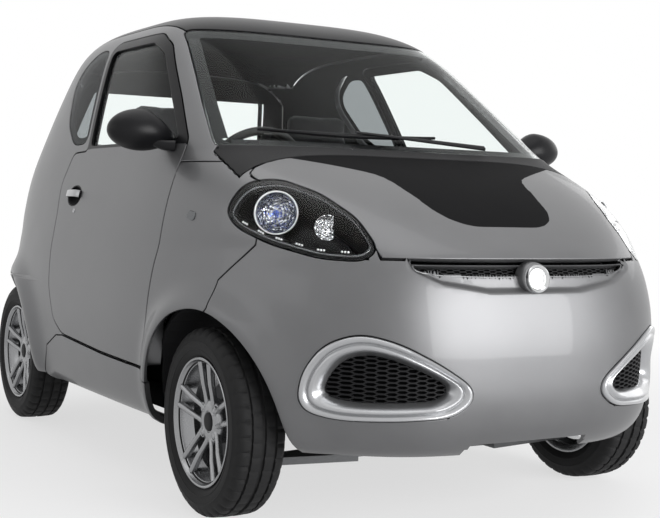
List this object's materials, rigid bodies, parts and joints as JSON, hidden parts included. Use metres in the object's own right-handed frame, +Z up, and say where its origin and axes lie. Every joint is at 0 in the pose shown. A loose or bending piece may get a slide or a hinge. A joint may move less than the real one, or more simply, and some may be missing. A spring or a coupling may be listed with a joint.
{
  "type": "city car",
  "caption": "Short two-seat city car with steered front wheels, hinged doors, bonnet and tailgate, glazed cabin, lamps, grilles and alloy wheels.",
  "frame": {"origin": "on the road below the middle of the car", "axes": "+X forward, +Y to the car's left, +Z up"},
  "size_m": [2.7609, 1.7314, 1.555],
  "materials": {
    "silver_paint": "metallic lacquer, gloss",
    "tinted_glass": "polished, green tint",
    "black_roof_paint": "gloss black",
    "black_plastic": "grained",
    "chassis_steel": "painted satin",
    "lamp_housing": "gloss black with bright reflectors",
    "clear_lens": "polished clear",
    "red_lens": "gloss red",
    "bezel_silver": "silver lacquer",
    "badge_chrome": "polished, blank",
    "seat_fabric": "woven dark grey",
    "wheel_alloy": "silver lacquer, bright lip",
    "tyre_rubber": "matt black"
  },
  "bodies": {
    "body": {"underbody": "black_plastic", "battery_pack": "chassis_steel", "front_axle": "chassis_steel", "rear_axle": "chassis_steel", "front_bumper": "silver_paint", "wing_right": "silver_paint", "wing_left": "silver_paint", "side_panel_right": "silver_paint", "side_panel_left": "silver_paint", "quarter_glass_right": "tinted_glass", "quarter_glass_left": "tinted_glass", "sill_cover_right": "silver_paint", "sill_cover_left": "silver_paint", "roof_panel": "black_roof_paint", "windscreen": "tinted_glass", "cowl": "black_plastic", "rear_bumper": "silver_paint", "head_lamp_right": "lamp_housing", "head_lamp_left": "lamp_housing", "head_lens_right": "clear_lens", "head_lens_left": "clear_lens", "tail_lamp_right": "red_lens", "tail_lamp_left": "red_lens", "lower_grille_right": "bezel_silver", "lower_grille_left": "bezel_silver", "upper_grille": "black_plastic", "badge": "badge_chrome", "dashboard": "black_plastic", "seats": "seat_fabric"},
    "door_right": {"door_right": "silver_paint", "door_glass_right": "tinted_glass", "mirror_right": "black_plastic"},
    "door_left": {"door_left": "silver_paint", "door_glass_left": "tinted_glass", "mirror_left": "black_plastic"},
    "bonnet": {"bonnet": "silver_paint"},
    "tailgate": {"tailgate": "silver_paint", "rear_glass": "tinted_glass"},
    "steering_wheel": {"steering_wheel": "black_plastic"},
    "knuckle_right": {"knuckle_right": "chassis_steel"},
    "knuckle_left": {"knuckle_left": "chassis_steel"},
    "wheel_front_right": {"wheel_front_right": "wheel_alloy", "tyre_front_right": "tyre_rubber"},
    "wheel_front_left": {"wheel_front_left": "wheel_alloy", "tyre_front_left": "tyre_rubber"},
    "wheel_rear_right": {"wheel_rear_right": "wheel_alloy", "tyre_rear_right": "tyre_rubber"},
    "wheel_rear_left": {"wheel_rear_left": "wheel_alloy", "tyre_rear_left": "tyre_rubber"}
  },
  "joints": [
    {"name": "door_right_hinge", "type": "hinge", "parent": "body", "child": "door_right", "pos_m": [0.42028, -0.73035, 0.69975], "axis": [0, 0.112, 0.9937], "range_deg": [0, 65]},
    {"name": "door_left_hinge", "type": "hinge", "parent": "body", "child": "door_left", "pos_m": [0.42028, 0.73035, 0.69975], "axis": [0, 0.112, -0.9937], "range_deg": [0, 65]},
    {"name": "bonnet_hinge", "type": "hinge", "parent": "body", "child": "bonnet", "pos_m": [0.75447, 0, 1.02241], "axis": [0, -1, 0], "range_deg": [0, 50]},
    {"name": "tailgate_hinge", "type": "hinge", "parent": "body", "child": "tailgate", "pos_m": [-0.9636, 0, 1.43293], "axis": [0, 1, 0], "range_deg": [0, 70]},
    {"name": "steering_wheel_turn", "type": "hinge", "parent": "body", "child": "steering_wheel", "pos_m": [0.28341, -0.325, 0.96721], "axis": [-0.8829, 0, 0.4695], "range_deg": [-480, 480]},
    {"name": "steer_right", "type": "hinge", "parent": "body", "child": "knuckle_right", "pos_m": [0.7875, -0.575, 0.16], "axis": [0, 0.1685, 0.9857], "range_deg": [-32, 32]},
    {"name": "steer_left", "type": "hinge", "parent": "body", "child": "knuckle_left", "pos_m": [0.7875, 0.575, 0.16], "axis": [0, -0.1685, 0.9857], "range_deg": [-32, 32]},
    {"name": "spin_front_right", "type": "hinge", "parent": "knuckle_right", "child": "wheel_front_right", "pos_m": [0.7875, -0.66, 0.266], "axis": [0, 1, 0], "continuous": true},
    {"name": "spin_front_left", "type": "hinge", "parent": "knuckle_left", "child": "wheel_front_left", "pos_m": [0.7875, 0.66, 0.266], "axis": [0, 1, 0], "continuous": true},
    {"name": "spin_rear_right", "type": "hinge", "parent": "body", "child": "wheel_rear_right", "pos_m": [-0.9775, -0.66, 0.266], "axis": [0, 1, 0], "continuous": true},
    {"name": "spin_rear_left", "type": "hinge", "parent": "body", "child": "wheel_rear_left", "pos_m": [-0.9775, 0.66, 0.266], "axis": [0, 1, 0], "continuous": true}
  ],
  "couplings": [
    {"joint": "steer_right", "follows": "steering_wheel_turn", "ratio": 0.066667},
    {"joint": "steer_left", "follows": "steering_wheel_turn", "ratio": 0.066667}
  ]
}
